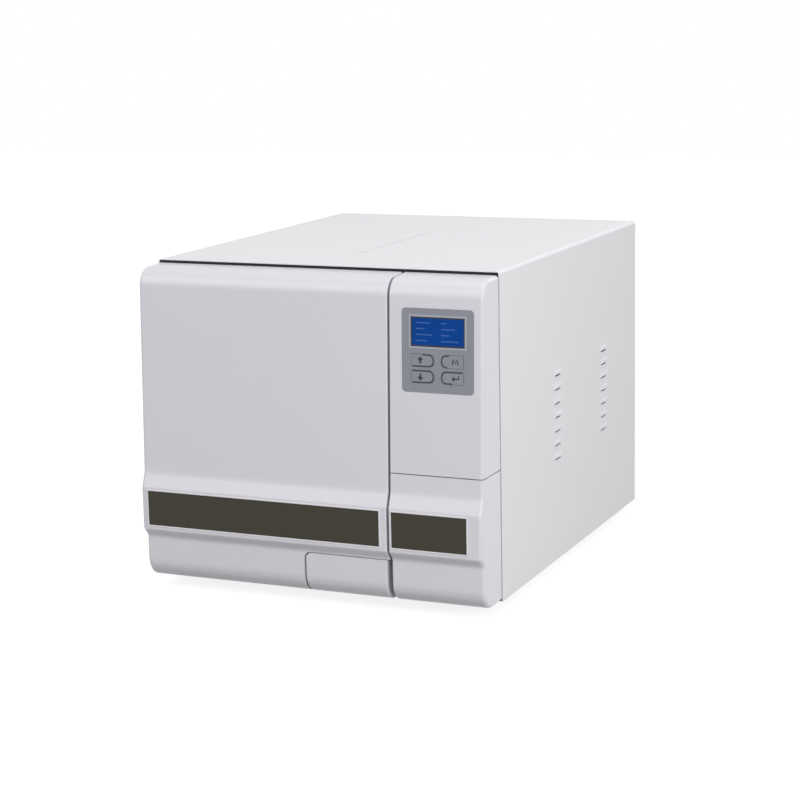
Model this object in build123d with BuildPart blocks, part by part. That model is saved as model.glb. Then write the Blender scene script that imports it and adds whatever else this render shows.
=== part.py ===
"""A bench-top dental steam autoclave: a steel case, a moulded front with a swinging pressure door, and the works inside.

Millimetres. X runs to the viewer's right, Y runs from the front to the back and Z is up. The origin lies on the bench,
under the middle of the whole machine.
"""

from build123d import *
from math import atan2, cos, degrees, radians, sin, sqrt
import os

os.makedirs("parts", exist_ok=True)

# The case
CASE_W = 442.0
CASE_H = 388.0
CASE_D = 520.0
FOOT_H = 12.0
FOOT_R = 17.0
SHEET = 1.2
CASE_BEND = 4.0
REAR_OUT = 2.5
CLEAR = 0.3
# The moulded front, as depths forward of the case and heights above its foot
FRONT_DROP = 4.0
FRONT_LOW = 2.0
FACE_TOP = 49.0
FACE_LOW = 58.0
FACE_LOW_H = 136.0
BAND_DEPTH = 65.0
BAND_TOP = 118.0
BAND_LOW = 66.0
SKIRT_DEPTH = 56.0
SKIRT_TOP = 56.0
BROW_R = 22.0
FACE_R = 20.0
LEDGE_R = 6.0
BAND_R = 4.0
TUCK_R = 8.0
SKIRT_R = 25.0
EDGE_R = 4.5
MOULD = 3.0
GAP = 3.5
SEAM = 3.0
FLAP_SEAM = 1.2
# The dark strips in the band
STRIP_LOW = 71.5
STRIP_H = 43.0
STRIP_T = 2.0
STRIP_SINK = 0.5
STRIP_MARGIN = 9.0
# The door, its hinge and its handle
DOOR_W = 324.0
HINGE_IN = 8.0
HINGE_BACK = 12.0
KNUCKLE_R = 4.5
PIN_R = 2.5
RUN = 0.1
HINGE_SPREAD = 90.0
KNUCKLE_H = 26.0
LEAF_T = 3.0
HANDLE_W = 110.0
HANDLE_H = 53.5
HANDLE_GAP = 1.0
HANDLE_R = 9.5
HANDLE_PIN_R = 1.5
PIVOT_IN = 5.0
PIVOT_BACK = 4.2
FINGER = 4.0
# The chamber
CHAMBER_R = 123.5
CHAMBER_WALL = 2.5
CHAMBER_DOME = 24.0
CHAMBER_DROP = 190.0
PORT_R = 4.0
FLANGE_R = 141.0
FLANGE_OUT = 2.0
JACKET_T = 11.0
DISC_R = 137.0
DISC_T = 8.0
YOKE_H = 34.0
YOKE_T = 12.0
STUD_R = 8.0
BOLT_R = 5.0
LOCK_UP = 52.0
LOCK_BACK = 20.0
KEEPER_W = 13.0
# The trays and their rack
TRAY_W = 168.0
TRAY_L = 296.0
TRAY_H = 18.0
TRAY_T = 1.0
TRAY_PITCH = 58.0
TRAY_DROP = 75.0
RACK_SPARE = 20.0
RACK_IN = 10.0
RACK_T = 1.5
RAIL_W = 7.0
# The control side
SERVICE_H = 158.0
KEYPAD_W = 87.5
KEYPAD_H = 96.0
KEYPAD_DROP = 37.5
KEYPAD_IN = 11.5
LCD_W = 66.0
LCD_H = 34.0
LCD_TOP = 9.5
KEY_W = 27.0
KEY_H = 14.5
KEY_PITCH_X = 36.0
KEY_PITCH_Z = 18.5
KEY_OUT = 0.6
# The water tank and its hatch
HATCH_W = 113.0
HATCH_L = 222.0
HATCH_FRONT = 97.0
HATCH_LEFT = -4.0
HATCH_T = 5.0
HATCH_GAP = 1.0
TANK_WALL = 3.0
TANK_LOW = 150.0
TANK_CLEAR = 5.0
# The louvres in the sides
LOUVRE_N = 7
LOUVRE_PITCH = 17.5
LOUVRE_L = 26.0
LOUVRE_H = 6.0
LOUVRE_OUT = 2.0
LOUVRE_LOW = 132.0
LOUVRE_FRONT = 198.0
LOUVRE_BACK = 380.0
# The fan in the rear
FAN_SIZE = 92.0
FAN_WALL = 3.0
FAN_DEEP = 25.0
FAN_DROP = 88.0
FAN_INSET = 81.0
HUB_R = 18.0
BLADES = 7

# The works behind the chamber and under the tank
CONDENSER_DEEP = 40.0
FIN_N = 11
PUMP_R = 42.0
PUMP_L = 96.0
BOILER_R = 44.0
BOILER_H = 170.0
INLET_W = 48.0
INLET_H = 52.0
INLET_UP = 40.0
ROCKER_TILT = 8.0

# Places that follow from the sizes
LENGTH = BAND_DEPTH + CASE_D + REAR_OUT
Y_CASE = BAND_DEPTH - LENGTH / 2
Y_BACK = Y_CASE + CASE_D
Z_CASE = FOOT_H
Z_TOP = Z_CASE + CASE_H
X_SIDE = CASE_W / 2
X_DOOR = DOOR_W - X_SIDE
X_CONTROL = X_DOOR + SEAM
Y_FRONT = Y_CASE - GAP
FRONT_TOP = CASE_H - FRONT_DROP
CHAMBER_X = (X_DOOR - X_SIDE) / 2
CHAMBER_Z = Z_TOP - CHAMBER_DROP
RACK_L = TRAY_L + RACK_SPARE
CHAMBER_DEPTH = RACK_IN + RACK_L + CHAMBER_DOME
CHAMBER_AXIS = Axis((CHAMBER_X, Y_CASE, CHAMBER_Z), (0, 1, 0))
PAN_TOP = Z_CASE + SHEET
JACKET_R = CHAMBER_R + CHAMBER_WALL + JACKET_T
TANK_SHELF = CHAMBER_Z + JACKET_R + TANK_CLEAR
Y_PLATE = Y_CASE + FLANGE_OUT
Y_BEHIND = Y_PLATE + 2 * SHEET
HINGE_X = HINGE_IN - X_SIDE
FAN_X = X_SIDE - FAN_INSET
LOCK_Y = Y_CASE - LOCK_BACK
LOCK_Z = CHAMBER_Z + LOCK_UP
HINGE_Y = Y_CASE - HINGE_BACK
FACE_LEAN = degrees(atan2(FACE_LOW - FACE_TOP, FRONT_TOP - FACE_LOW_H))


def keep(piece, name):
    """Labels a finished piece and writes it."""
    piece.part.label = name
    export_step(piece.part, f"parts/{name}.step")


def block(x0, x1, y0, y1, z0, z1, mode=Mode.ADD):
    """A rectangular solid between two corners."""
    with Locations(((x0 + x1) / 2, (y0 + y1) / 2, (z0 + z1) / 2)):
        Box(x1 - x0, y1 - y0, z1 - z0, mode=mode)


def rod_z(x, y, z0, z1, r, mode=Mode.ADD):
    """An upright round bar."""
    with Locations((x, y, (z0 + z1) / 2)):
        Cylinder(r, z1 - z0, mode=mode)


def rod_y(x, z, y0, y1, r, mode=Mode.ADD):
    """A round bar that runs from front to back."""
    with Locations(Location((x, (y0 + y1) / 2, z), (90, 0, 0))):
        Cylinder(r, y1 - y0, mode=mode)


def rod_x(y, z, x0, x1, r, mode=Mode.ADD):
    """A round bar that runs from side to side."""
    with Locations(Location(((x0 + x1) / 2, y, z), (0, 90, 0))):
        Cylinder(r, x1 - x0, mode=mode)


def turned(points, mode=Mode.ADD):
    """A body turned about the chamber's axis from a closed outline of radius and depth behind the case's front."""
    with BuildSketch(Plane(origin=(CHAMBER_X, Y_CASE, CHAMBER_Z))) as outline:
        with BuildLine():
            Polyline(points, close=True)
        make_face()
    revolve(outline.sketch, axis=CHAMBER_AXIS, mode=mode)


def front_profile(x, grow=0.0):
    """The moulded front's side profile on a plane at x, from its top ledge over the band to the tucked-in skirt."""
    outline = [
        (GAP, FRONT_LOW),
        (GAP, FRONT_TOP),
        (FACE_TOP, FRONT_TOP - 2),
        (FACE_LOW, FACE_LOW_H),
        (BAND_DEPTH, BAND_TOP),
        (BAND_DEPTH, BAND_LOW),
        (SKIRT_DEPTH, SKIRT_TOP),
        (SKIRT_DEPTH, FRONT_LOW),
    ]
    rounds = [BROW_R, FACE_R, LEDGE_R, BAND_R, TUCK_R, SKIRT_R]
    plane = Plane(origin=(x, Y_CASE, Z_CASE), x_dir=(0, -1, 0), z_dir=(-1, 0, 0))
    with BuildSketch(plane) as section:
        with BuildLine():
            Polyline(outline, close=True)
        make_face()
        for corner, radius in zip(outline[2:], rounds):
            fillet(section.vertices().sort_by_distance(corner)[0], radius)
        if grow:
            offset(amount=grow, kind=Kind.INTERSECTION)
            with Locations((GAP, (FRONT_LOW + FRONT_TOP) / 2)):
                Rectangle(-4 * grow, FRONT_TOP - FRONT_LOW + 2 * grow)
    return section.sketch


def height_slab(x0, x1, low, high, mode):
    """A slab across the front's whole depth between two heights above the case's foot."""
    block(x0, x1, Y_CASE - 2 * BAND_DEPTH, Y_CASE + BAND_DEPTH, Z_CASE + low, Z_CASE + high, mode)


def handle_window(grow, mode):
    """The handle's outline from the front, grown by a gap that widens at its corner, through the whole depth."""
    with BuildSketch(Plane.XZ.offset(-Y_CASE)) as window:
        with Locations((HANDLE_X0 - grow, Z_CASE + HANDLE_H + grow)):
            Rectangle(2 * HANDLE_W, 2 * HANDLE_H, align=(Align.MIN, Align.MAX))
        fillet(window.vertices().sort_by_distance((HANDLE_X0, Z_CASE + HANDLE_H))[0], HANDLE_R - grow / 2)
    extrude(window.sketch, amount=2 * BAND_DEPTH, both=True, mode=mode)


def side_edges(builder, x):
    """The profile's edges on one end face, without those at its open back."""
    return (
        builder.edges()
        .filter_by(lambda e: abs(e.center().X - x) < 0.01 and abs(e.bounding_box().size.X) < 0.01)
        .filter_by(lambda e: e.bounding_box().max.Y < Y_FRONT - 1)
    )


def on_face(x, height, sink=0.0):
    """A plane that lies on the leaning main face at x and a height above the case's foot, its z pointing out."""
    depth = FACE_LOW - (height - FACE_LOW_H) * (FACE_LOW - FACE_TOP) / (FRONT_TOP - 2 - FACE_LOW_H)
    lean = radians(FACE_LEAN)
    out = Vector(0, -cos(lean), sin(lean))
    return Plane(origin=Vector(x, Y_CASE - depth, Z_CASE + height) - out * sink, x_dir=(1, 0, 0), z_dir=out)


# The case: a bent steel cover with pressed louvres, over a base pan and a rear panel

with BuildPart() as outer_cover:
    with BuildSketch(Plane.XZ.offset(-Y_CASE)) as cover_section:
        with Locations((0, (Z_CASE + Z_TOP) / 2)):
            Rectangle(CASE_W, CASE_H)
        fillet(cover_section.vertices().group_by(Axis.Y)[-1], CASE_BEND)
        with Locations((0, (Z_CASE + Z_TOP) / 2 - SHEET)):
            Rectangle(CASE_W - 2 * SHEET, CASE_H, mode=Mode.SUBTRACT)
    extrude(amount=-CASE_D)
    hatch_y0 = Y_CASE + HATCH_FRONT
    block(
        HATCH_LEFT, HATCH_LEFT + HATCH_W, hatch_y0, hatch_y0 + HATCH_L, Z_TOP - 3 * SHEET, Z_TOP + 1, Mode.SUBTRACT
    )
    for side in (-1, 1):
        for bank in (LOUVRE_FRONT, LOUVRE_BACK):
            for row in range(LOUVRE_N):
                louvre_z = Z_CASE + LOUVRE_LOW + row * LOUVRE_PITCH
                with BuildSketch(Plane.YZ.offset(side * (X_SIDE - SHEET))) as base:
                    with Locations((Y_CASE + bank, louvre_z)):
                        Rectangle(LOUVRE_L, LOUVRE_H)
                extrude(base.sketch, amount=side * (SHEET + LOUVRE_OUT), taper=24)
                with Locations((side * (X_SIDE - SHEET / 2), Y_CASE + bank, louvre_z - LOUVRE_H / 2)):
                    Box(3 * SHEET, LOUVRE_L - 6, LOUVRE_H / 2, mode=Mode.SUBTRACT)
keep(outer_cover, "outer_cover")

with BuildPart() as base_pan:
    inner = X_SIDE - SHEET
    block(-inner, inner, Y_CASE + SHEET, Y_BACK - SHEET, Z_CASE, PAN_TOP)
    for side in (-1, 1):
        x_edge = side * (inner - SHEET / 2)
        block(x_edge - SHEET / 2, x_edge + SHEET / 2, Y_BEHIND, Y_BACK - SHEET, Z_CASE, Z_CASE + 14)
    with Locations((0, Y_BACK - 150, Z_CASE), (0, Y_CASE + 150, Z_CASE)):
        with GridLocations(18, 1, 7, 1):
            Box(8, 60, 4 * SHEET, mode=Mode.SUBTRACT)
keep(base_pan, "base_pan")

with BuildPart() as rear_panel:
    block(-inner, inner, Y_BACK - SHEET, Y_BACK, Z_CASE, Z_TOP - SHEET)
    rod_y(FAN_X, Z_TOP - FAN_DROP, Y_BACK - 5, Y_BACK + 5, FAN_SIZE / 2 - 3, Mode.SUBTRACT)
    block(
        FAN_X - INLET_W / 2, FAN_X + INLET_W / 2, Y_BACK - 5, Y_BACK + 5,
        Z_CASE + INLET_UP, Z_CASE + INLET_UP + INLET_H, Mode.SUBTRACT,
    )
    for row in range(9):
        z_slot = Z_CASE + 250 + 10 * row
        block(-170, -60, Y_BACK - 5, Y_BACK + 5, z_slot, z_slot + 4, Mode.SUBTRACT)
keep(rear_panel, "rear_panel")

with BuildPart() as front_bulkhead:
    block(-inner, inner, Y_PLATE, Y_BEHIND, PAN_TOP, Z_TOP - SHEET)
    rod_y(CHAMBER_X, CHAMBER_Z, Y_CASE - 5, Y_CASE + 20, CHAMBER_R + CHAMBER_WALL + CLEAR, Mode.SUBTRACT)
keep(front_bulkhead, "front_bulkhead")

with BuildPart() as feet:
    with Locations((0, (Y_CASE + Y_BACK) / 2, 0)):
        with GridLocations(CASE_W - 70, CASE_D - 80, 2, 2):
            Cone(FOOT_R - 3, FOOT_R, FOOT_H, align=(Align.CENTER, Align.CENTER, Align.MIN))
keep(feet, "feet")

# The chamber: a drawn steel vessel on a flange, wrapped in insulation and carried on a cradle

KNEE = CHAMBER_DEPTH - CHAMBER_DOME

with BuildPart() as chamber:
    outer_r = CHAMBER_R + CHAMBER_WALL
    dome = [(0.82, 0.5), (0.45, 0.88)]
    outside = [(outer_r * across, KNEE + CHAMBER_DOME * along) for across, along in dome]
    inside = [(CHAMBER_R * across, KNEE + CHAMBER_DOME * along - CHAMBER_WALL) for across, along in dome]
    turned([
        (CHAMBER_R, FLANGE_OUT), (outer_r, FLANGE_OUT), (outer_r, KNEE), *outside, (PORT_R, CHAMBER_DEPTH),
        (PORT_R, CHAMBER_DEPTH - CHAMBER_WALL), *reversed(inside), (CHAMBER_R, KNEE),
    ])
keep(chamber, "chamber")

with BuildPart() as chamber_flange:
    turned([(CHAMBER_R, FLANGE_OUT), (FLANGE_R, FLANGE_OUT), (FLANGE_R, 0), (FLANGE_R - 2, -FLANGE_OUT),
            (CHAMBER_R + 1, -FLANGE_OUT), (CHAMBER_R, -FLANGE_OUT + 1)])
keep(chamber_flange, "chamber_flange")

with BuildPart() as chamber_jacket:
    jacket_in = CHAMBER_R + CHAMBER_WALL + CLEAR
    jacket_end = KNEE - 6
    turned([(jacket_in, 2 * SHEET + FLANGE_OUT + 6), (JACKET_R, 2 * SHEET + FLANGE_OUT + 6),
            (JACKET_R, jacket_end), (jacket_in, jacket_end)])
keep(chamber_jacket, "chamber_jacket")

with BuildPart() as chamber_cradle:
    cradle_w = 2 * JACKET_R * 0.8
    for depth in (70, jacket_end - 60):
        with BuildSketch(Plane.XZ.offset(-(Y_CASE + depth))) as upright:
            with Locations((CHAMBER_X, (PAN_TOP + CHAMBER_Z - 60) / 2)):
                Rectangle(cradle_w, CHAMBER_Z - 60 - PAN_TOP)
            with Locations((CHAMBER_X, CHAMBER_Z)):
                Circle(JACKET_R + CLEAR, mode=Mode.SUBTRACT)
            with Locations((CHAMBER_X, PAN_TOP + 24)):
                Rectangle(cradle_w - 70, 16, mode=Mode.SUBTRACT)
        extrude(amount=-3)
    for side in (-1, 1):
        rail_x = CHAMBER_X + side * (cradle_w / 2 - 12)
        block(rail_x - 10, rail_x + 10, Y_CASE + 70, Y_CASE + jacket_end - 57, PAN_TOP, PAN_TOP + 3)
keep(chamber_cradle, "chamber_cradle")

# The rack of three tray shelves, and its trays

RACK_X = TRAY_W / 2 + 2
RACK_LOW = CHAMBER_Z - sqrt((CHAMBER_R - CLEAR) ** 2 - (RACK_X + RACK_T) ** 2)
TRAY_LOW = CHAMBER_Z - TRAY_DROP
RACK_HIGH = TRAY_LOW + 2 * TRAY_PITCH + TRAY_H + 8
RACK_Y = Y_CASE + RACK_IN

with BuildPart() as tray_rack:
    for side in (-1, 1):
        x_in = CHAMBER_X + side * RACK_X
        x_out = CHAMBER_X + side * (RACK_X + RACK_T)
        block(min(x_in, x_out), max(x_in, x_out), RACK_Y, RACK_Y + RACK_L, RACK_LOW, RACK_HIGH)
        with Locations((x_in, RACK_Y + RACK_L / 2, (RACK_LOW + RACK_HIGH) / 2)):
            with GridLocations(1, RACK_L / 3, 1, 3):
                Box(10, RACK_L / 3 - 22, RACK_HIGH - RACK_LOW - 24, mode=Mode.SUBTRACT)
        for level in range(3):
            z_rail = TRAY_LOW + level * TRAY_PITCH - CLEAR
            x_lip = CHAMBER_X + side * (RACK_X - RAIL_W)
            block(min(x_lip, x_out), max(x_lip, x_out), RACK_Y, RACK_Y + RACK_L, z_rail - RACK_T, z_rail)
    for depth in (0, RACK_L - 8):
        y_bar = RACK_Y + depth
        block(CHAMBER_X - RACK_X, CHAMBER_X + RACK_X, y_bar, y_bar + 8, RACK_LOW, RACK_LOW + RACK_T)
keep(tray_rack, "tray_rack")

for level, name in enumerate(("tray_bottom", "tray_middle", "tray_top")):
    with BuildPart() as tray:
        z_tray = TRAY_LOW + level * TRAY_PITCH
        y_tray = RACK_Y + 4
        half = TRAY_W / 2
        block(CHAMBER_X - half, CHAMBER_X + half, y_tray, y_tray + TRAY_L, z_tray, z_tray + TRAY_H)
        fillet(tray.edges().filter_by(Axis.Z), 8)
        with BuildSketch(Plane.XY.offset(z_tray + TRAY_T)) as tray_inside:
            with Locations((CHAMBER_X, y_tray + TRAY_L / 2)):
                RectangleRounded(TRAY_W - 2 * TRAY_T, TRAY_L - 2 * TRAY_T, 7)
        extrude(amount=TRAY_H, mode=Mode.SUBTRACT)
        with Locations((CHAMBER_X, y_tray + TRAY_L / 2, z_tray)):
            with GridLocations(TRAY_W / 4, TRAY_L / 6, 3, 5):
                Box(TRAY_W / 4 - 14, 8, 4 * TRAY_T, mode=Mode.SUBTRACT)
    keep(tray, name)

# The door: a moulded shell over a lined frame, with a pressure disc hung on a steel yoke

STRIP_Z0 = STRIP_LOW
STRIP_Z1 = STRIP_LOW + STRIP_H
HANDLE_X0 = X_DOOR - HANDLE_W
PIVOT_X = HANDLE_X0 + PIVOT_IN
PIVOT_Y = Y_CASE - SKIRT_DEPTH + PIVOT_BACK
PIN_LOW = SKIRT_R - 5

with BuildPart() as door_hollow:
    extrude(front_profile(X_DOOR - MOULD, -MOULD), amount=DOOR_W - 2 * MOULD)
    handle_window(HANDLE_GAP + MOULD, Mode.SUBTRACT)

with BuildPart() as door_shell:
    extrude(front_profile(X_DOOR), amount=DOOR_W)
    for x_end in (-X_SIDE, X_DOOR):
        fillet(side_edges(door_shell, x_end), EDGE_R if x_end < 0 else EDGE_R / 3)
    add(door_hollow.part, mode=Mode.SUBTRACT)
    handle_window(HANDLE_GAP, Mode.SUBTRACT)
    rod_z(PIVOT_X, PIVOT_Y, Z_CASE + PIN_LOW, Z_CASE + HANDLE_H + HANDLE_GAP, HANDLE_PIN_R)
    with Locations((X_DOOR - MOULD / 2, LOCK_Y, LOCK_Z)):
        Box(2 * MOULD, KEEPER_W, KEEPER_W, mode=Mode.SUBTRACT)
    block(
        STRIP_MARGIN - X_SIDE, X_DOOR - STRIP_MARGIN,
        Y_CASE - BAND_DEPTH - 1, Y_CASE - BAND_DEPTH + STRIP_T + STRIP_SINK,
        Z_CASE + STRIP_Z0, Z_CASE + STRIP_Z1, Mode.SUBTRACT,
    )
keep(door_shell, "door_shell")

with BuildPart() as door_strip:
    block(
        STRIP_MARGIN - X_SIDE + CLEAR, X_DOOR - STRIP_MARGIN - CLEAR,
        Y_CASE - BAND_DEPTH + STRIP_SINK, Y_CASE - BAND_DEPTH + STRIP_T + STRIP_SINK,
        Z_CASE + STRIP_Z0 + CLEAR, Z_CASE + STRIP_Z1 - CLEAR,
    )
keep(door_strip, "door_strip")

LINER_Y = Y_CASE - 6
LINER_T = 2.0
STRAP_Y = HINGE_Y - KNUCKLE_R - 4
STRAP_X = HINGE_X + KNUCKLE_R + 1.5
LINER_R = DISC_R + 4
HINGES = (CHAMBER_Z - HINGE_SPREAD, CHAMBER_Z + HINGE_SPREAD)

with BuildPart() as door_liner:
    x0 = MOULD - X_SIDE
    x1 = X_DOOR - MOULD
    block(x0, x1, LINER_Y, LINER_Y + LINER_T, Z_CASE + HANDLE_H + HANDLE_GAP + MOULD, Z_CASE + FRONT_TOP - MOULD)
    rod_y(CHAMBER_X, CHAMBER_Z, LINER_Y - 5, LINER_Y + 5, LINER_R, Mode.SUBTRACT)
    for z_hinge in HINGES:
        block(x0 - 1, STRAP_X + 12, LINER_Y - 5, LINER_Y + 5, z_hinge - 34, z_hinge + 34, Mode.SUBTRACT)
    for x_post, z_post in ((STRAP_X + 8, HINGES[0] - 42), (STRAP_X + 8, HINGES[1] + 42), (x1 - 8, CHAMBER_Z)):
        rod_y(x_post, z_post, STRAP_Y, LINER_Y, 5)
keep(door_liner, "door_liner")

with BuildPart() as door_yoke:
    x_strap = STRAP_X + 20
    block(STRAP_X, x_strap, STRAP_Y - YOKE_T / 2, STRAP_Y, HINGES[0] - 58, HINGES[1] + 58)
    fillet(door_yoke.edges().filter_by(Axis.Y), 6)
    with BuildSketch(Plane.XZ.offset(-(STRAP_Y - YOKE_T / 2))) as bar_outline:
        with BuildLine():
            Polyline(
                (STRAP_X, CHAMBER_Z - YOKE_H * 0.8), (CHAMBER_X - 40, CHAMBER_Z - YOKE_H / 2),
                (x1, CHAMBER_Z - YOKE_H / 2), (x1, CHAMBER_Z + YOKE_H / 2),
                (CHAMBER_X - 40, CHAMBER_Z + YOKE_H / 2), (STRAP_X, CHAMBER_Z + YOKE_H * 0.8), close=True,
            )
        make_face()
        with Locations((CHAMBER_X, CHAMBER_Z)):
            Circle(YOKE_H * 0.75)
    extrude(amount=YOKE_T / 2)
    block(x1 - 16, x1, STRAP_Y - YOKE_T / 2, STRAP_Y, CHAMBER_Z - YOKE_H / 2, CHAMBER_Z + YOKE_H / 2)
    rod_y(CHAMBER_X, CHAMBER_Z, STRAP_Y - 2 * YOKE_T, STRAP_Y + 5, STUD_R + RUN, Mode.SUBTRACT)
    for z_hinge in HINGES:
        z0 = z_hinge + RUN + KNUCKLE_H / 2
        z1 = z0 + KNUCKLE_H / 2
        rod_z(HINGE_X, HINGE_Y, z0, z1, KNUCKLE_R)
        block(HINGE_X, STRAP_X + 5, STRAP_Y - YOKE_T / 2, STRAP_Y, z0, z1)
        block(HINGE_X, HINGE_X + KNUCKLE_R, STRAP_Y - YOKE_T / 2, HINGE_Y, z0, z1)
        rod_z(HINGE_X, HINGE_Y, z0 - 1, z1 + 1, PIN_R + RUN, Mode.SUBTRACT)
keep(door_yoke, "door_yoke")

with BuildPart() as pressure_disc:
    back = -FLANGE_OUT - CLEAR
    turned([
        (PORT_R, back - 2), (DISC_R - 16, back - 2), (DISC_R - 16, back), (DISC_R, back), (DISC_R, back - 4),
        (DISC_R - 12, back - DISC_T), (STUD_R + 12, back - DISC_T), (STUD_R + 8, back - DISC_T - 4),
        (PORT_R, back - DISC_T - 4),
    ])
keep(pressure_disc, "pressure_disc")

with BuildPart() as door_gasket:
    turned([
        (DISC_R - 22, back - 2), (DISC_R - 16, back - 2), (DISC_R - 16, back), (DISC_R - 19, back + 1),
        (DISC_R - 22, back),
    ])
keep(door_gasket, "door_gasket")

with BuildPart() as disc_stud:
    y_disc = Y_CASE + back - DISC_T - 4
    y_nut = STRAP_Y - YOKE_T
    rod_y(CHAMBER_X, CHAMBER_Z, y_nut - 8, y_disc, STUD_R)
    rod_y(CHAMBER_X, CHAMBER_Z, STRAP_Y + CLEAR, y_disc, STUD_R + 4)
    with BuildSketch(Plane.XZ.offset(-y_nut)) as nut:
        with Locations((CHAMBER_X, CHAMBER_Z)):
            RegularPolygon(STUD_R * 1.8, 6)
    extrude(amount=6)
keep(disc_stud, "disc_stud")

# The hinges: each a gooseneck leaf on the bulkhead with a knuckle and its pin


def gooseneck(x_axis, side, z_hinge):
    """One fixed hinge leaf, which steps round the swinging shell's edge, with its pin standing in the knuckle."""
    z0 = z_hinge - KNUCKLE_H / 2
    z1 = z_hinge + KNUCKLE_H / 2
    reach = sqrt(HINGE_IN ** 2 + (HINGE_BACK - GAP) ** 2) + 1.2
    x_far = x_axis + side * (reach + LEAF_T)
    x_near = x_axis + side * reach
    x_pad = x_axis + side * (reach + 16)
    y_leaf = HINGE_Y - KNUCKLE_R
    rod_z(x_axis, HINGE_Y, z0, z1, KNUCKLE_R)
    block(min(x_axis, x_far), max(x_axis, x_far), y_leaf, y_leaf + LEAF_T, z0, z1)
    block(min(x_near, x_far), max(x_near, x_far), y_leaf, Y_PLATE, z0, z1)
    block(min(x_near, x_pad), max(x_near, x_pad), Y_PLATE - LEAF_T, Y_PLATE, z0, z1)
    rod_z(x_axis, HINGE_Y, z1, z1 + KNUCKLE_H / 2 + 2, PIN_R)


for z_hinge, name in zip(HINGES, ("hinge_low", "hinge_high")):
    with BuildPart() as hinge:
        gooseneck(HINGE_X, 1, z_hinge)
    keep(hinge, name)

# The pull handle in the skirt, and the arm behind it that bears on the striker

ARM_Z = Z_CASE + HANDLE_H / 2
RIB_X = PIVOT_X + 14
ARM_END = Y_CASE - 8

with BuildPart() as handle_hollow:
    extrude(front_profile(X_DOOR - FINGER - MOULD, -MOULD), amount=HANDLE_W - FINGER - 2 * MOULD)
    height_slab(HANDLE_X0 - 1, X_DOOR + 1, HANDLE_H - MOULD, 2 * CASE_H, Mode.SUBTRACT)

with BuildPart() as pull_handle:
    extrude(front_profile(X_DOOR - FINGER), amount=HANDLE_W - FINGER)
    fillet(side_edges(pull_handle, HANDLE_X0), EDGE_R - 0.5)
    fillet(side_edges(pull_handle, X_DOOR - FINGER), EDGE_R / 3)
    add(handle_hollow.part, mode=Mode.SUBTRACT)
    handle_window(0, Mode.INTERSECT)
    block(HANDLE_X0 - 1, X_DOOR + 1, PIVOT_Y + 24, Y_CASE + 9, 0, Z_TOP, Mode.SUBTRACT)
    rod_z(PIVOT_X, PIVOT_Y, Z_CASE + PIN_LOW, Z_CASE + HANDLE_H - HANDLE_R / 2, 2.4 * HANDLE_PIN_R)
    block(RIB_X, RIB_X + MOULD, PIVOT_Y - 2.5, PIVOT_Y + 24, ARM_Z - 10, Z_CASE + HANDLE_H - 1)
    rod_z(PIVOT_X, PIVOT_Y, Z_CASE + PIN_LOW - 1, Z_CASE + HANDLE_H + 1, HANDLE_PIN_R + RUN, Mode.SUBTRACT)
keep(pull_handle, "pull_handle")

with BuildPart() as latch_arm:
    x_arm = RIB_X + MOULD
    block(x_arm, x_arm + MOULD, PIVOT_Y + 2, ARM_END, ARM_Z - 8, ARM_Z + 8)
    block(x_arm, x_arm + 24, ARM_END - MOULD, ARM_END, ARM_Z - 8, ARM_Z + 8)
keep(latch_arm, "latch_arm")

with BuildPart() as latch_striker:
    block(x_arm + 6, x_arm + 22, ARM_END + CLEAR, Y_PLATE, ARM_Z - 10, ARM_Z + 10)
    fillet(latch_striker.edges().filter_by(Axis.Z).sort_by(Axis.Y)[:2], 2)
    block(x_arm - 2, x_arm + 30, Y_PLATE - 2, Y_PLATE, ARM_Z - 14, ARM_Z + 14)
keep(latch_striker, "latch_striker")

# The automatic lock: a sprung bolt that a solenoid drives sideways, out of the fixed moulding into the door's edge

COIL_X0 = X_CONTROL + MOULD + 3
COIL_X1 = COIL_X0 + 40
COIL_H = 28.0

with BuildPart() as lock_solenoid:
    block(COIL_X0, COIL_X1, LOCK_Y - COIL_H / 2, Y_PLATE, LOCK_Z - COIL_H / 2, LOCK_Z + COIL_H / 2)
    fillet(lock_solenoid.edges().filter_by(Axis.X), 3)
    rod_x(LOCK_Y, LOCK_Z, COIL_X1, COIL_X1 + 8, 8)
    rod_x(LOCK_Y, LOCK_Z, COIL_X0 - 1, COIL_X1 - 6, BOLT_R + RUN, Mode.SUBTRACT)
keep(lock_solenoid, "lock_solenoid")

with BuildPart() as lock_bolt:
    rod_x(LOCK_Y, LOCK_Z, X_CONTROL + 0.5, COIL_X1 - 10, BOLT_R)
    chamfer(lock_bolt.faces().sort_by(Axis.X)[0].edges(), 1)
keep(lock_bolt, "lock_bolt")

# The control side: a fixed moulding with the keypad, over the service flap

CONTROL_W = X_SIDE - X_CONTROL
PAD_X = X_SIDE - KEYPAD_IN - KEYPAD_W / 2
PAD_H = CASE_H - KEYPAD_DROP - KEYPAD_H / 2
PAD_PROUD = 0.3
PAD_SINK = 1.5
BOARD_SINK = 7.0
LCD_Y = KEYPAD_H / 2 - LCD_TOP - LCD_H / 2
KEYS_Y = LCD_Y - LCD_H / 2 - 8.5 - KEY_H / 2


def on_pad(sink):
    """The keypad's own plane, sunk below the moulding's face."""
    return on_face(PAD_X, PAD_H, sink)


with BuildPart() as control_hollow:
    extrude(front_profile(X_SIDE - MOULD, -MOULD), amount=CONTROL_W - 2 * MOULD)
    height_slab(X_CONTROL, X_SIDE, -9, SERVICE_H + FLAP_SEAM + MOULD, Mode.SUBTRACT)

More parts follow.
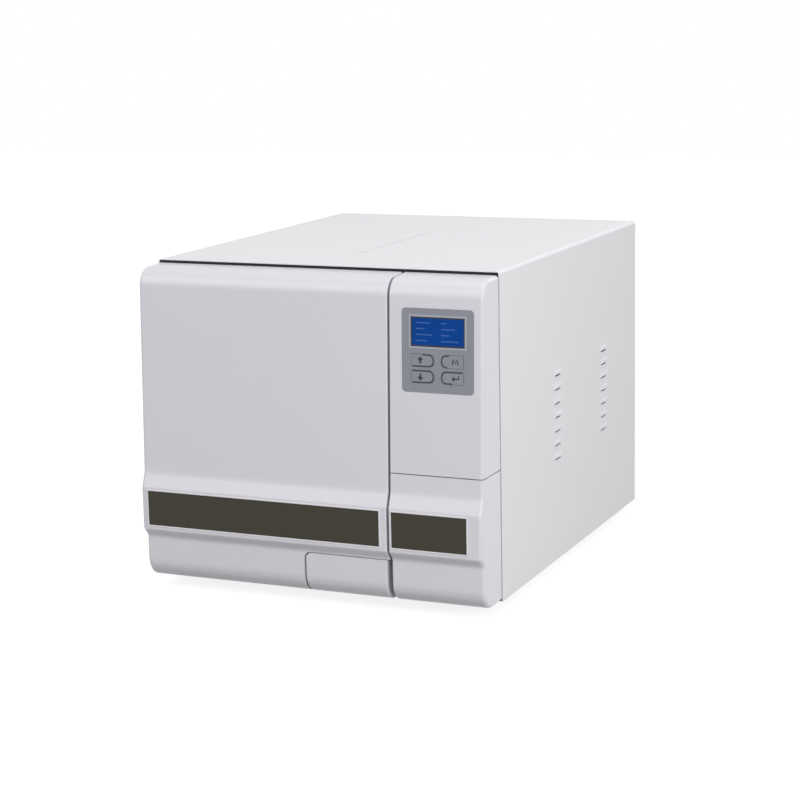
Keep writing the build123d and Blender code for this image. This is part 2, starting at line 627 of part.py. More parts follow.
with BuildPart() as control_fascia:
    extrude(front_profile(X_SIDE), amount=CONTROL_W)
    fillet(side_edges(control_fascia, X_SIDE), EDGE_R)
    fillet(side_edges(control_fascia, X_CONTROL), EDGE_R / 3)
    height_slab(X_CONTROL - 1, X_SIDE + 1, -9, SERVICE_H + FLAP_SEAM, Mode.SUBTRACT)
    add(control_hollow.part, mode=Mode.SUBTRACT)
    rod_x(LOCK_Y, LOCK_Z, X_CONTROL - 1, X_CONTROL + MOULD + 1, BOLT_R + 1, Mode.SUBTRACT)
    for x_post in (X_CONTROL + MOULD + 5, X_SIDE - MOULD - 5):
        for post_h in (SERVICE_H + 28, FRONT_TOP - 40):
            rod_y(x_post, Z_CASE + post_h, Y_CASE - 36, Y_PLATE, 6)
    with BuildSketch(on_pad(0)) as pad_recess:
        RectangleRounded(KEYPAD_W + CLEAR, KEYPAD_H + CLEAR, 5)
    extrude(pad_recess.sketch, amount=-PAD_SINK, mode=Mode.SUBTRACT)
    extrude(pad_recess.sketch, amount=2, mode=Mode.SUBTRACT)
    with BuildSketch(on_pad(0)) as pad_window:
        RectangleRounded(KEYPAD_W - 8, KEYPAD_H - 8, 3)
    extrude(pad_window.sketch, amount=-4 * MOULD, mode=Mode.SUBTRACT)
keep(control_fascia, "control_fascia")


def key_face(column, grow):
    """A key's outline, straight at its outer end and round at its inner one, grown by a gap."""
    with BuildSketch(mode=Mode.PRIVATE) as face:
        Rectangle(KEY_W + 2 * grow, KEY_H + 2 * grow)
        fillet(face.vertices().group_by(Axis.X)[-1 if column < 0 else 0], KEY_H / 2 - 1)
        fillet(face.vertices().group_by(Axis.X)[0 if column < 0 else -1], 1)
    return face.sketch_local


KEY_NAMES = {
    (-1, 0): "key_up",
    (1, 0): "key_mode",
    (-1, 1): "key_down",
    (1, 1): "key_enter",
}

with BuildPart() as keypad_panel:
    with BuildSketch(on_pad(PAD_SINK)) as pad_outline:
        RectangleRounded(KEYPAD_W, KEYPAD_H, 5)
        with Locations((0, LCD_Y)):
            Rectangle(LCD_W, LCD_H, mode=Mode.SUBTRACT)
        for column, row in KEY_NAMES:
            with Locations((column * KEY_PITCH_X / 2, KEYS_Y - row * KEY_PITCH_Z)):
                add(key_face(column, CLEAR), mode=Mode.SUBTRACT)
    extrude(amount=PAD_SINK + PAD_PROUD)
    with BuildSketch(on_pad(BOARD_SINK)) as pad_posts:
        with GridLocations(KEYPAD_W - 14, KEYPAD_H - 14, 2, 2):
            Circle(2.5)
    extrude(amount=BOARD_SINK - PAD_SINK)
keep(keypad_panel, "keypad_panel")

with BuildPart() as lcd_window:
    with BuildSketch(on_pad(PAD_SINK)) as window_outline:
        with Locations((0, LCD_Y)):
            Rectangle(LCD_W, LCD_H)
    extrude(amount=1)
keep(lcd_window, "lcd_window")

with BuildPart() as lcd_module:
    with BuildSketch(on_pad(BOARD_SINK)) as module_outline:
        with Locations((0, LCD_Y)):
            Rectangle(LCD_W, LCD_H)
    extrude(amount=BOARD_SINK - PAD_SINK)
keep(lcd_module, "lcd_module")

with BuildPart() as control_board:
    with BuildSketch(on_pad(BOARD_SINK + 1.6)) as board_outline:
        Rectangle(KEYPAD_W - 9, KEYPAD_H - 9)
    extrude(amount=1.6)
keep(control_board, "control_board")

for (column, row), name in KEY_NAMES.items():
    with BuildPart() as key:
        with BuildSketch(on_pad(PAD_SINK)) as key_outline:
            with Locations((column * KEY_PITCH_X / 2, KEYS_Y - row * KEY_PITCH_Z)):
                add(key_face(column, 0))
        extrude(amount=PAD_SINK + PAD_PROUD + KEY_OUT)
        with BuildSketch(on_pad(BOARD_SINK - 1.1)) as key_stem:
            with Locations((column * KEY_PITCH_X / 2, KEYS_Y - row * KEY_PITCH_Z)):
                Circle(3)
        extrude(amount=BOARD_SINK - 1.1 - PAD_SINK)
    keep(key, name)

# The service flap, hinged at the machine's right, with the taps and filter that it covers

FLAP_X = -HINGE_X
FLAP_HINGES = (Z_CASE + 32, Z_CASE + SERVICE_H - 32)

with BuildPart() as flap_hollow:
    extrude(front_profile(X_SIDE - MOULD, -MOULD), amount=CONTROL_W - 2 * MOULD)
    height_slab(X_CONTROL, X_SIDE, SERVICE_H - MOULD, 2 * CASE_H, Mode.SUBTRACT)

with BuildPart() as service_flap:
    extrude(front_profile(X_SIDE), amount=CONTROL_W)
    fillet(side_edges(service_flap, X_SIDE), EDGE_R)
    fillet(side_edges(service_flap, X_CONTROL), EDGE_R / 3)
    height_slab(X_CONTROL - 1, X_SIDE + 1, SERVICE_H, 2 * CASE_H, Mode.SUBTRACT)
    add(flap_hollow.part, mode=Mode.SUBTRACT)
    block(
        X_CONTROL + STRIP_MARGIN / 3, X_SIDE - 2 * STRIP_MARGIN,
        Y_CASE - BAND_DEPTH - 1, Y_CASE - BAND_DEPTH + STRIP_T + STRIP_SINK,
        Z_CASE + STRIP_Z0, Z_CASE + STRIP_Z1, Mode.SUBTRACT,
    )
    for z_hinge in FLAP_HINGES:
        z0 = z_hinge + RUN + KNUCKLE_H / 2
        z1 = z0 + KNUCKLE_H / 2
        rod_z(FLAP_X, HINGE_Y, z0, z1, KNUCKLE_R)
        block(FLAP_X - KNUCKLE_R, X_SIDE - MOULD, HINGE_Y - KNUCKLE_R - 6, HINGE_Y, z0, z1)
        rod_z(FLAP_X, HINGE_Y, z0 - 1, z1 + 1, PIN_R + RUN, Mode.SUBTRACT)
keep(service_flap, "service_flap")

with BuildPart() as service_strip:
    block(
        X_CONTROL + STRIP_MARGIN / 3 + CLEAR, X_SIDE - 2 * STRIP_MARGIN - CLEAR,
        Y_CASE - BAND_DEPTH + STRIP_SINK, Y_CASE - BAND_DEPTH + STRIP_T + STRIP_SINK,
        Z_CASE + STRIP_Z0 + CLEAR, Z_CASE + STRIP_Z1 - CLEAR,
    )
keep(service_strip, "service_strip")

with BuildPart() as flap_hinge:
    for z_hinge in FLAP_HINGES:
        gooseneck(FLAP_X, -1, z_hinge)
    block(FLAP_X - 24, FLAP_X - 20, Y_PLATE - LEAF_T, Y_PLATE, FLAP_HINGES[0], FLAP_HINGES[1])
keep(flap_hinge, "flap_hinge")

with BuildPart() as drain_taps:
    for tap_x in (X_CONTROL + 24, X_CONTROL + 58):
        rod_y(tap_x, Z_CASE + 36, Y_CASE - 4, Y_PLATE, 13)
        rod_y(tap_x, Z_CASE + 36, Y_CASE - 20, Y_CASE - 4, 9)
        rod_y(tap_x, Z_CASE + 36, Y_CASE - 34, Y_CASE - 20, 5)
        rod_y(tap_x, Z_CASE + 36, Y_CASE - 35, Y_CASE - 8, 3, Mode.SUBTRACT)
        block(tap_x - 3, tap_x + 3, Y_CASE - 16, Y_CASE - 8, Z_CASE + 42, Z_CASE + 56)
keep(drain_taps, "drain_taps")

with BuildPart() as air_filter:
    filter_x = X_CONTROL + 42
    filter_z = Z_CASE + 108
    rod_y(filter_x, filter_z, Y_CASE - 34, Y_CASE - 18, 24)
    chamfer(air_filter.edges().filter_by(GeomType.CIRCLE), 3)
    rod_y(filter_x, filter_z, Y_CASE - 18, Y_PLATE, 7)
    rod_y(filter_x, filter_z, Y_CASE - 42, Y_CASE - 34, 6)
keep(air_filter, "air_filter")

# The water tank under the hatch, its frame, its lid and its stand

TANK_X0 = CHAMBER_X + JACKET_R + 4
TANK_X1 = X_SIDE - SHEET - 5
FRAME_H = 8.0
TANK_TOP = Z_TOP - SHEET - FRAME_H
HATCH_X = HATCH_LEFT + HATCH_W / 2
HATCH_Y = Y_CASE + HATCH_FRONT + HATCH_L / 2
TANK_Y0 = HATCH_Y - HATCH_L / 2 - 12
TANK_Y1 = HATCH_Y + HATCH_L / 2 + 12
LID_AXIS_Y = HATCH_Y + HATCH_L / 2 - HATCH_GAP - HATCH_T / 2
LID_AXIS_Z = Z_TOP - HATCH_T / 2
LID_PIN_R = 1.0


def tank_outline(y, wall):
    """The tank's L-shaped section, which steps over the chamber, drawn in by a wall."""
    with BuildSketch(Plane.XZ.offset(-y)) as section:
        with BuildLine():
            Polyline(
                (TANK_X0 + wall, TANK_LOW + wall), (TANK_X1 - wall, TANK_LOW + wall), (TANK_X1 - wall, TANK_TOP - wall),
                (HATCH_LEFT - 12 + wall, TANK_TOP - wall), (HATCH_LEFT - 12 + wall, TANK_SHELF + wall),
                (TANK_X0 + wall, TANK_SHELF + wall), close=True,
            )
        make_face()
    return section.sketch


with BuildPart() as water_tank:
    extrude(tank_outline(TANK_Y0, 0), amount=TANK_Y0 - TANK_Y1)
    fillet(water_tank.edges().filter_by(Axis.Z), 6)
    extrude(tank_outline(TANK_Y0 + TANK_WALL, TANK_WALL), amount=TANK_Y0 - TANK_Y1 + 2 * TANK_WALL, mode=Mode.SUBTRACT)
    with BuildSketch(Plane.XY.offset(TANK_TOP)) as mouth:
        with Locations((HATCH_X, HATCH_Y)):
            RectangleRounded(HATCH_W - 16, HATCH_L - 16, 8)
    extrude(mouth.sketch, amount=-2 * TANK_WALL, mode=Mode.SUBTRACT)
keep(water_tank, "water_tank")

with BuildPart() as hatch_frame:
    z0 = TANK_TOP
    z1 = TANK_TOP + FRAME_H
    rim = HATCH_GAP + 4
    block(
        HATCH_LEFT - rim, HATCH_LEFT + HATCH_W + rim,
        HATCH_Y - HATCH_L / 2 - rim, HATCH_Y + HATCH_L / 2 + rim, z0, z1,
    )
    block(
        HATCH_LEFT, HATCH_LEFT + HATCH_W,
        HATCH_Y - HATCH_L / 2, HATCH_Y + HATCH_L / 2 + 2, Z_TOP - HATCH_T - CLEAR, z1, Mode.SUBTRACT,
    )
    block(
        HATCH_LEFT + 6, HATCH_LEFT + HATCH_W - 6,
        HATCH_Y - HATCH_L / 2 + 6, HATCH_Y + HATCH_L / 2 - 8, z0, z1, Mode.SUBTRACT,
    )
    block(
        HATCH_LEFT, HATCH_LEFT + HATCH_W,
        HATCH_Y + HATCH_L / 2 - 8, HATCH_Y + HATCH_L / 2 + 2, z0 + 1.2, z1, Mode.SUBTRACT,
    )
    for x0, x1 in ((HATCH_LEFT - 2, HATCH_LEFT + 5), (HATCH_LEFT + HATCH_W - 5, HATCH_LEFT + HATCH_W + 2)):
        rod_x(LID_AXIS_Y, LID_AXIS_Z, x0, x1, LID_PIN_R)
keep(hatch_frame, "hatch_frame")

with BuildPart() as tank_lid:
    block(
        HATCH_LEFT + HATCH_GAP, HATCH_LEFT + HATCH_W - HATCH_GAP,
        HATCH_Y - HATCH_L / 2 + HATCH_GAP, HATCH_Y + HATCH_L / 2 - HATCH_GAP, Z_TOP - HATCH_T, Z_TOP,
    )
    fillet(tank_lid.faces().sort_by(Axis.Z)[-1].edges(), 0.6)
    rod_x(LID_AXIS_Y, LID_AXIS_Z, HATCH_LEFT - 1, HATCH_LEFT + 6, LID_PIN_R + RUN, Mode.SUBTRACT)
    rod_x(LID_AXIS_Y, LID_AXIS_Z, HATCH_LEFT + HATCH_W - 6, HATCH_LEFT + HATCH_W + 1, LID_PIN_R + RUN, Mode.SUBTRACT)
keep(tank_lid, "tank_lid")

with BuildPart() as tank_stand:
    stand_t = 2 * SHEET
    block(TANK_X0, TANK_X1, TANK_Y0, TANK_Y1, TANK_LOW - stand_t, TANK_LOW)
    for y_leg in (TANK_Y0, TANK_Y1 - stand_t):
        block(TANK_X0 + 30, TANK_X1, y_leg, y_leg + stand_t, PAN_TOP, TANK_LOW)
        block(TANK_X0 + 55, TANK_X1 - 25, y_leg - 1, y_leg + stand_t + 1, PAN_TOP + 25, TANK_LOW - 25, Mode.SUBTRACT)
keep(tank_stand, "tank_stand")

# The works under the tank

WORKS_X = (TANK_X0 + 30 + TANK_X1) / 2

with BuildPart() as water_pump:
    y0 = TANK_Y0 + 20
    block(WORKS_X - 30, WORKS_X + 30, y0, y0 + 50, PAN_TOP, PAN_TOP + 6)
    rod_y(WORKS_X, PAN_TOP + 30, y0 + 4, y0 + 46, 26)
    rod_y(WORKS_X, PAN_TOP + 30, y0 - 8, y0 + 4, 14)
    rod_z(WORKS_X, y0 - 2, PAN_TOP + 32, PAN_TOP + 62, 5)
keep(water_pump, "water_pump")

with BuildPart() as valve_block:
    y0 = TANK_Y0 + 88
    block(WORKS_X - 40, WORKS_X + 40, y0, y0 + 26, PAN_TOP, PAN_TOP + 34)
    chamfer(valve_block.edges().filter_by(Axis.Z), 2)
    with Locations((WORKS_X, y0 + 13, PAN_TOP + 34)):
        with GridLocations(26, 1, 3, 1):
            Box(18, 18, 22, align=(Align.CENTER, Align.CENTER, Align.MIN))
            Cylinder(5, 30, align=(Align.CENTER, Align.CENTER, Align.MIN))
keep(valve_block, "valve_block")

with BuildPart() as main_board:
    y0 = TANK_Y0 + 126
    board_z = PAN_TOP + 10
    block(WORKS_X - 40, WORKS_X + 40, y0, y0 + 104, board_z, board_z + 1.6)
    with Locations((WORKS_X, y0 + 52, PAN_TOP)):
        with GridLocations(70, 94, 2, 2):
            Cylinder(3, 10, align=(Align.CENTER, Align.CENTER, Align.MIN))
    block(WORKS_X - 34, WORKS_X + 2, y0 + 12, y0 + 50, board_z, board_z + 34)
    with Locations((WORKS_X + 24, y0 + 60, board_z)):
        with GridLocations(1, 20, 1, 4):
            Box(16, 13, 16, align=(Align.CENTER, Align.CENTER, Align.MIN))
keep(main_board, "main_board")

# The works behind the chamber: fan, condenser, vacuum pump, steam generator and relief valve

FAN_Z = Z_TOP - FAN_DROP
FAN_Y1 = Y_BACK - SHEET
FAN_Y0 = FAN_Y1 - FAN_DEEP

with BuildPart() as fan_frame:
    block(
        FAN_X - FAN_SIZE / 2, FAN_X + FAN_SIZE / 2, FAN_Y0, FAN_Y1, FAN_Z - FAN_SIZE / 2, FAN_Z + FAN_SIZE / 2
    )
    fillet(fan_frame.edges().filter_by(Axis.Y), 5)
    rod_y(FAN_X, FAN_Z, FAN_Y0 - 1, FAN_Y1 + 1, FAN_SIZE / 2 - FAN_WALL, Mode.SUBTRACT)
    rod_y(FAN_X, FAN_Z, FAN_Y0, FAN_Y0 + 3, HUB_R)
    for turn in range(4):
        with BuildSketch(Plane.XZ.offset(-FAN_Y0)) as strut:
            with Locations(Location((FAN_X, FAN_Z), 45 + 90 * turn)):
                Rectangle(FAN_SIZE / 2, 4, align=(Align.MIN, Align.CENTER))
        extrude(amount=-3)
    rod_y(FAN_X, FAN_Z, FAN_Y0 + 3, FAN_Y0 + 16, 3)
keep(fan_frame, "fan_frame")

with BuildPart() as fan_rotor:
    rotor_y0 = FAN_Y0 + 3 + CLEAR
    rotor_y1 = FAN_Y1 - 3
    blade_out = FAN_SIZE / 2 - FAN_WALL - 1.5
    rod_y(FAN_X, FAN_Z, rotor_y0, rotor_y1, HUB_R)
    for turn in range(BLADES):
        angle = 360 * turn / BLADES
        span = Vector(cos(radians(angle)), 0, sin(radians(angle)))
        hub_at = Vector(FAN_X, (rotor_y0 + rotor_y1) / 2, FAN_Z) + span * (HUB_R - 2)
        chord = Vector(0, 1, 0).rotate(Axis((0, 0, 0), span), 50)
        with BuildSketch(Plane(origin=hub_at, x_dir=chord, z_dir=span)) as blade_root:
            Rectangle(20, 1.6)
        extrude(amount=blade_out - HUB_R + 2)
    rod_y(FAN_X, FAN_Z, rotor_y0 - 1, FAN_Y0 + 17, 3 + RUN, Mode.SUBTRACT)
keep(fan_rotor, "fan_rotor")

with BuildPart() as fan_guard:
    with BuildSketch(Plane.XZ.offset(-Y_BACK)) as rings:
        for ring in range(4):
            ring_r = FAN_SIZE / 2 - 2 - 11 * ring
            with Locations((FAN_X, FAN_Z)):
                Circle(ring_r)
                Circle(ring_r - 2, mode=Mode.SUBTRACT)
        with Locations((FAN_X, FAN_Z)):
            Rectangle(FAN_SIZE + 8, 2.4, rotation=45)
            Rectangle(FAN_SIZE + 8, 2.4, rotation=-45)
    extrude(amount=-2)
keep(fan_guard, "fan_guard")

with BuildPart() as condenser:
    y1 = FAN_Y0
    y0 = y1 - CONDENSER_DEEP
    half = FAN_SIZE / 2
    for side in (-1, 1):
        x_plate = FAN_X + side * (half + 1)
        block(x_plate - 1, x_plate + 1, y0, y1, FAN_Z - half, FAN_Z + half)
    with Locations((FAN_X, (y0 + y1) / 2, FAN_Z)):
        for fin in range(FIN_N):
            fin_z = (fin - (FIN_N - 1) / 2) * (FAN_SIZE - 4) / (FIN_N - 1)
            with Locations((0, 0, fin_z)):
                Box(FAN_SIZE + 2, CONDENSER_DEEP - 4, 0.8)
    for tube in range(4):
        tube_z = FAN_Z + (tube - 1.5) * FAN_SIZE / 4
        rod_x((y0 + y1) / 2, tube_z, FAN_X - half - 10, FAN_X + half + 10, 4)
keep(condenser, "condenser")

PUMP_X = CHAMBER_X - 40
PUMP_Y = Y_BACK - 78
PUMP_Z = PAN_TOP + PUMP_R + 12

with BuildPart() as vacuum_pump:
    rod_x(PUMP_Y, PUMP_Z, PUMP_X - PUMP_L / 2, PUMP_X + PUMP_L / 2, PUMP_R)
    chamfer(vacuum_pump.edges().filter_by(GeomType.CIRCLE), 5)
    rod_x(PUMP_Y, PUMP_Z, PUMP_X + PUMP_L / 2, PUMP_X + PUMP_L / 2 + 34, PUMP_R - 8)
    block(PUMP_X + PUMP_L / 2, PUMP_X + PUMP_L / 2 + 30, PUMP_Y - 24, PUMP_Y + 24, PUMP_Z, PUMP_Z + 54)
    for side in (-1, 1):
        x_foot = PUMP_X + side * PUMP_L / 3
        block(x_foot - 10, x_foot + 10, PUMP_Y - 36, PUMP_Y + 36, PAN_TOP, PAN_TOP + 8)
        block(x_foot - 8, x_foot + 8, PUMP_Y - 24, PUMP_Y + 24, PAN_TOP, PUMP_Z - 20)
    for fin in range(5):
        x_fin = PUMP_X + (fin - 2) * PUMP_L / 6
        rod_x(PUMP_Y, PUMP_Z, x_fin - 1.5, x_fin + 1.5, PUMP_R + 4)
keep(vacuum_pump, "vacuum_pump")

with BuildPart() as steam_generator:
    boiler_x = CHAMBER_X + 105
    boiler_y = Y_BACK - 100
    rod_z(boiler_x, boiler_y, PAN_TOP, PAN_TOP + 3, BOILER_R + 8)
    rod_z(boiler_x, boiler_y, PAN_TOP + 3, PAN_TOP + BOILER_H, BOILER_R)
    rod_z(boiler_x, boiler_y, PAN_TOP + BOILER_H - 14, PAN_TOP + BOILER_H - 6, BOILER_R + 8)
    with Locations((boiler_x, boiler_y, PAN_TOP + BOILER_H - 6)):
        with GridLocations(24, 24, 2, 2):
            Cylinder(4, 20, align=(Align.CENTER, Align.CENTER, Align.MIN))
    with BuildSketch(Plane.XY.offset(PAN_TOP + BOILER_H - 6)) as cover_nuts:
        with Locations((boiler_x, boiler_y)):
            with PolarLocations(BOILER_R + 4, 8):
                RegularPolygon(3.4, 6)
    extrude(amount=4)
keep(steam_generator, "steam_generator")

with BuildPart() as relief_valve:
    y0 = Y_CASE + CHAMBER_DEPTH
    rod_y(CHAMBER_X, CHAMBER_Z, y0, y0 + 14, 11)
    rod_y(CHAMBER_X, CHAMBER_Z, y0 + 14, y0 + 40, 8)
    rod_z(CHAMBER_X, y0 + 27, CHAMBER_Z, CHAMBER_Z + 30, 6)
    rod_x(y0 + 34, CHAMBER_Z, CHAMBER_X - 16, CHAMBER_X + 16, 2)
keep(relief_valve, "relief_valve")

# The power inlet in the rear, with its rocker switch

INLET_Z = Z_CASE + INLET_UP + INLET_H / 2
ROCKER_Z = INLET_Z + INLET_H / 4
ROCKER_W = 24.0
ROCKER_H = 16.0

with BuildPart() as mains_inlet:
    block(FAN_X - INLET_W / 2 - 5, FAN_X + INLET_W / 2 + 5, Y_BACK, Y_BACK + REAR_OUT,
          INLET_Z - INLET_H / 2 - 5, INLET_Z + INLET_H / 2 + 5)
    fillet(mains_inlet.edges().filter_by(Axis.Y), 3)
    block(FAN_X - INLET_W / 2 + CLEAR, FAN_X + INLET_W / 2 - CLEAR, Y_BACK - 28, Y_BACK,
          INLET_Z - INLET_H / 2 + CLEAR, INLET_Z + INLET_H / 2 - CLEAR)
    with BuildSketch(Plane.XZ.offset(-(Y_BACK + REAR_OUT))) as socket:
        with Locations((FAN_X, INLET_Z - INLET_H / 4)):
            Rectangle(28, 20)
        chamfer(socket.vertices().group_by(Axis.Y)[0], 4)
    extrude(socket.sketch, amount=18, mode=Mode.SUBTRACT)
    for pin_x, pin_z in ((-7, 0), (7, 0), (0, 4)):
        with Locations((FAN_X + pin_x, Y_BACK - 9, INLET_Z - INLET_H / 4 + pin_z - 2)):
            Box(2, 14, 4)
    block(FAN_X - ROCKER_W / 2, FAN_X + ROCKER_W / 2, Y_BACK - 14, Y_BACK + 3,
          ROCKER_Z - ROCKER_H / 2, ROCKER_Z + ROCKER_H / 2, Mode.SUBTRACT)
    for side in (-1, 1):
        x_ear = FAN_X + side * ROCKER_W / 2
        rod_x(Y_BACK - 5, ROCKER_Z, x_ear - 2, x_ear + 2, 1.5)
keep(mains_inlet, "mains_inlet")

with BuildPart() as power_rocker:
    with BuildSketch(Plane.YZ.offset(FAN_X - ROCKER_W / 2 + 1)) as rocker_side:
        with Locations(Location((Y_BACK - 5, ROCKER_Z), -ROCKER_TILT)):
            Rectangle(13, ROCKER_H - 4)
            with Locations((7.5, 0)):
                Circle(2.5, mode=Mode.SUBTRACT)
    extrude(amount=ROCKER_W - 2)
    rod_x(Y_BACK - 5, ROCKER_Z, FAN_X - ROCKER_W, FAN_X - ROCKER_W / 2 + 3.2, 1.5 + RUN, Mode.SUBTRACT)
    rod_x(Y_BACK - 5, ROCKER_Z, FAN_X + ROCKER_W / 2 - 3.2, FAN_X + ROCKER_W, 1.5 + RUN, Mode.SUBTRACT)
keep(power_rocker, "power_rocker")
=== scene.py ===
"""The looks of a bench-top dental steam autoclave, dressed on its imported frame."""

from math import atan2, cos, pi, radians, sin

import bmesh
import bpy
from mathutils import Matrix, Vector


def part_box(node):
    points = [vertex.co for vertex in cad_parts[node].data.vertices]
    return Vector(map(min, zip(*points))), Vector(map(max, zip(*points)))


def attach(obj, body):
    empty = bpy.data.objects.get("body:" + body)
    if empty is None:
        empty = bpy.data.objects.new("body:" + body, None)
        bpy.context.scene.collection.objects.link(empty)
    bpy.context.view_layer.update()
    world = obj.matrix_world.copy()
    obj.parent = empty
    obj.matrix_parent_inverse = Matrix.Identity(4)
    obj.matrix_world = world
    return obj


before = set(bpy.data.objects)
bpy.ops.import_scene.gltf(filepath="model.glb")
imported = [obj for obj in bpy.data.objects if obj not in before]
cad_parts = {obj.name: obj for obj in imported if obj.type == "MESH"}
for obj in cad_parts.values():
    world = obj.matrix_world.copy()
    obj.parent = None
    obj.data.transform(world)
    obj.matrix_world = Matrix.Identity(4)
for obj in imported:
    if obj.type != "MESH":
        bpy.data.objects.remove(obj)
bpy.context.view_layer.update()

# Camera
# The case is photographed from above its right front corner with a long lens, so its edges
# nearly keep their directions. The target is a point of the front plane of the steel case.
case_low, case_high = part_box("outer_cover")
CASE_TALL = case_high.z - case_low.z
TARGET = Vector((0.246 * CASE_TALL, case_low.y, case_low.z + 0.599 * CASE_TALL))
AWAY = 6.23 * CASE_TALL
YAW = radians(23.70)
PITCH = radians(11.32)
ROLL = radians(-1.18)
FOCAL_PX = 2069.0
FRAME_PX = 800.0
SENSOR = 36.0

back = Vector((sin(YAW) * cos(PITCH), -cos(YAW) * cos(PITCH), sin(PITCH)))
camera_data = bpy.data.cameras.new("camera")
camera_data.sensor_width = SENSOR
camera_data.lens = FOCAL_PX / FRAME_PX * SENSOR
camera_data.clip_end = 100
camera = bpy.data.objects.new("camera", camera_data)
bpy.context.scene.collection.objects.link(camera)
level = back.to_track_quat("Z", "Y").to_matrix()
turned = (level @ Matrix.Rotation(ROLL, 3, "Z")).to_4x4()
camera.matrix_world = Matrix.Translation(TARGET + back * AWAY) @ turned
bpy.context.scene.camera = camera
bpy.context.scene.view_settings.view_transform = "Standard"

# Studio
# A pale floor with soft lamps at the front left, at the right, overhead and behind, in a plain surround. The
# floor and the surround are white to the camera and in reflections, and the floor keeps the machine's shadow.
FLOOR_REACH = 6.0
FLOOR_GREY = 0.28
FLOOR_LIFT = 0.84
SURROUND = 0.46
KEY_POWER = 30.0
FILL_POWER = 55.0
TOP_POWER = 16.0
REAR_POWER = 22.0


def bsdf_material(name):
    """A new node material and its surface shader."""
    material = bpy.data.materials.new(name)
    material.use_nodes = True
    return material, material.node_tree.nodes["Principled BSDF"]


def node(material, kind, **values):
    """A node in a material, with some of its sockets or settings filled in."""
    made = material.node_tree.nodes.new(kind)
    for key, value in values.items():
        if key in made.inputs:
            made.inputs[key].default_value = value
        else:
            setattr(made, key, value)
    return made


def wire(material, source, target):
    """Joins an output socket to an input socket."""
    material.node_tree.links.new(source, target)


floor_mesh = bpy.data.meshes.new("floor")
bm = bmesh.new()
bmesh.ops.create_grid(bm, x_segments=1, y_segments=1, size=FLOOR_REACH)
bm.to_mesh(floor_mesh)
bm.free()
floor = bpy.data.objects.new("floor", floor_mesh)
bpy.context.scene.collection.objects.link(floor)
paper, paper_shader = bsdf_material("studio_paper")
paper_shader.inputs["Base Color"].default_value = (FLOOR_GREY, FLOOR_GREY, FLOOR_GREY, 1)
paper_shader.inputs["Roughness"].default_value = 0.9
paper_shader.inputs["Emission Color"].default_value = (1, 1, 1, 1)
light_path = node(paper, "ShaderNodeLightPath")
lift = node(paper, "ShaderNodeMath", operation="MULTIPLY")
lift.inputs[1].default_value = FLOOR_LIFT
paper_seen = node(paper, "ShaderNodeMath", operation="MAXIMUM")
paper_mirrored = node(paper, "ShaderNodeMath", operation="MAXIMUM")
wire(paper, light_path.outputs["Is Glossy Ray"], paper_mirrored.inputs[0])
wire(paper, light_path.outputs["Is Transmission Ray"], paper_mirrored.inputs[1])
wire(paper, light_path.outputs["Is Camera Ray"], paper_seen.inputs[0])
wire(paper, paper_mirrored.outputs[0], paper_seen.inputs[1])
wire(paper, paper_seen.outputs[0], lift.inputs[0])
wire(paper, lift.outputs[0], paper_shader.inputs["Emission Strength"])
floor.data.materials.append(paper)

world = bpy.data.worlds.new("surround")
bpy.context.scene.world = world
world.use_nodes = True
tree = world.node_tree
plain = tree.nodes["Background"]
plain.inputs["Color"].default_value = (0.96, 0.97, 1.0, 1)
plain.inputs["Strength"].default_value = SURROUND
white = tree.nodes.new("ShaderNodeBackground")
white.inputs["Color"].default_value = (1, 1, 1, 1)
white.inputs["Strength"].default_value = 1.0
rays = tree.nodes.new("ShaderNodeLightPath")
seen = tree.nodes.new("ShaderNodeMath")
seen.operation = "MAXIMUM"
choose = tree.nodes.new("ShaderNodeMixShader")
mirrored = tree.nodes.new("ShaderNodeMath")
mirrored.operation = "MAXIMUM"
tree.links.new(rays.outputs["Is Glossy Ray"], mirrored.inputs[0])
tree.links.new(rays.outputs["Is Transmission Ray"], mirrored.inputs[1])
tree.links.new(rays.outputs["Is Camera Ray"], seen.inputs[0])
tree.links.new(mirrored.outputs[0], seen.inputs[1])
tree.links.new(seen.outputs[0], choose.inputs[0])
tree.links.new(plain.outputs[0], choose.inputs[1])
tree.links.new(white.outputs[0], choose.inputs[2])
tree.links.new(choose.outputs[0], tree.nodes["World Output"].inputs["Surface"])


def soft_lamp(name, place, aim, size, power):
    """A square soft lamp that points at a place."""
    data = bpy.data.lights.new(name, "AREA")
    data.size = size
    data.energy = power
    lamp = bpy.data.objects.new(name, data)
    bpy.context.scene.collection.objects.link(lamp)
    lamp.location = place
    lamp.rotation_euler = (Vector(place) - Vector(aim)).to_track_quat("Z", "Y").to_euler()


soft_lamp("key_lamp", (-1.5, -2.4, 2.0), (0, -0.1, 0.2), 1.8, KEY_POWER)
soft_lamp("fill_lamp", (2.6, -1.7, 1.1), (0, -0.1, 0.2), 1.6, FILL_POWER)
soft_lamp("top_lamp", (0.2, 0.2, 2.6), (0, 0, 0.4), 1.8, TOP_POWER)
soft_lamp("rear_lamp", (0.4, 3.4, 1.2), (0, 0, 0.2), 1.8, REAR_POWER)

# Steel case
# A cover folded from one steel sheet and powder coated near-white, closed by a panel at the rear.
# The same coat finishes the hatch in its top. The coat has a very fine orange peel.
COVER_WHITE = (0.765, 0.76, 0.775)


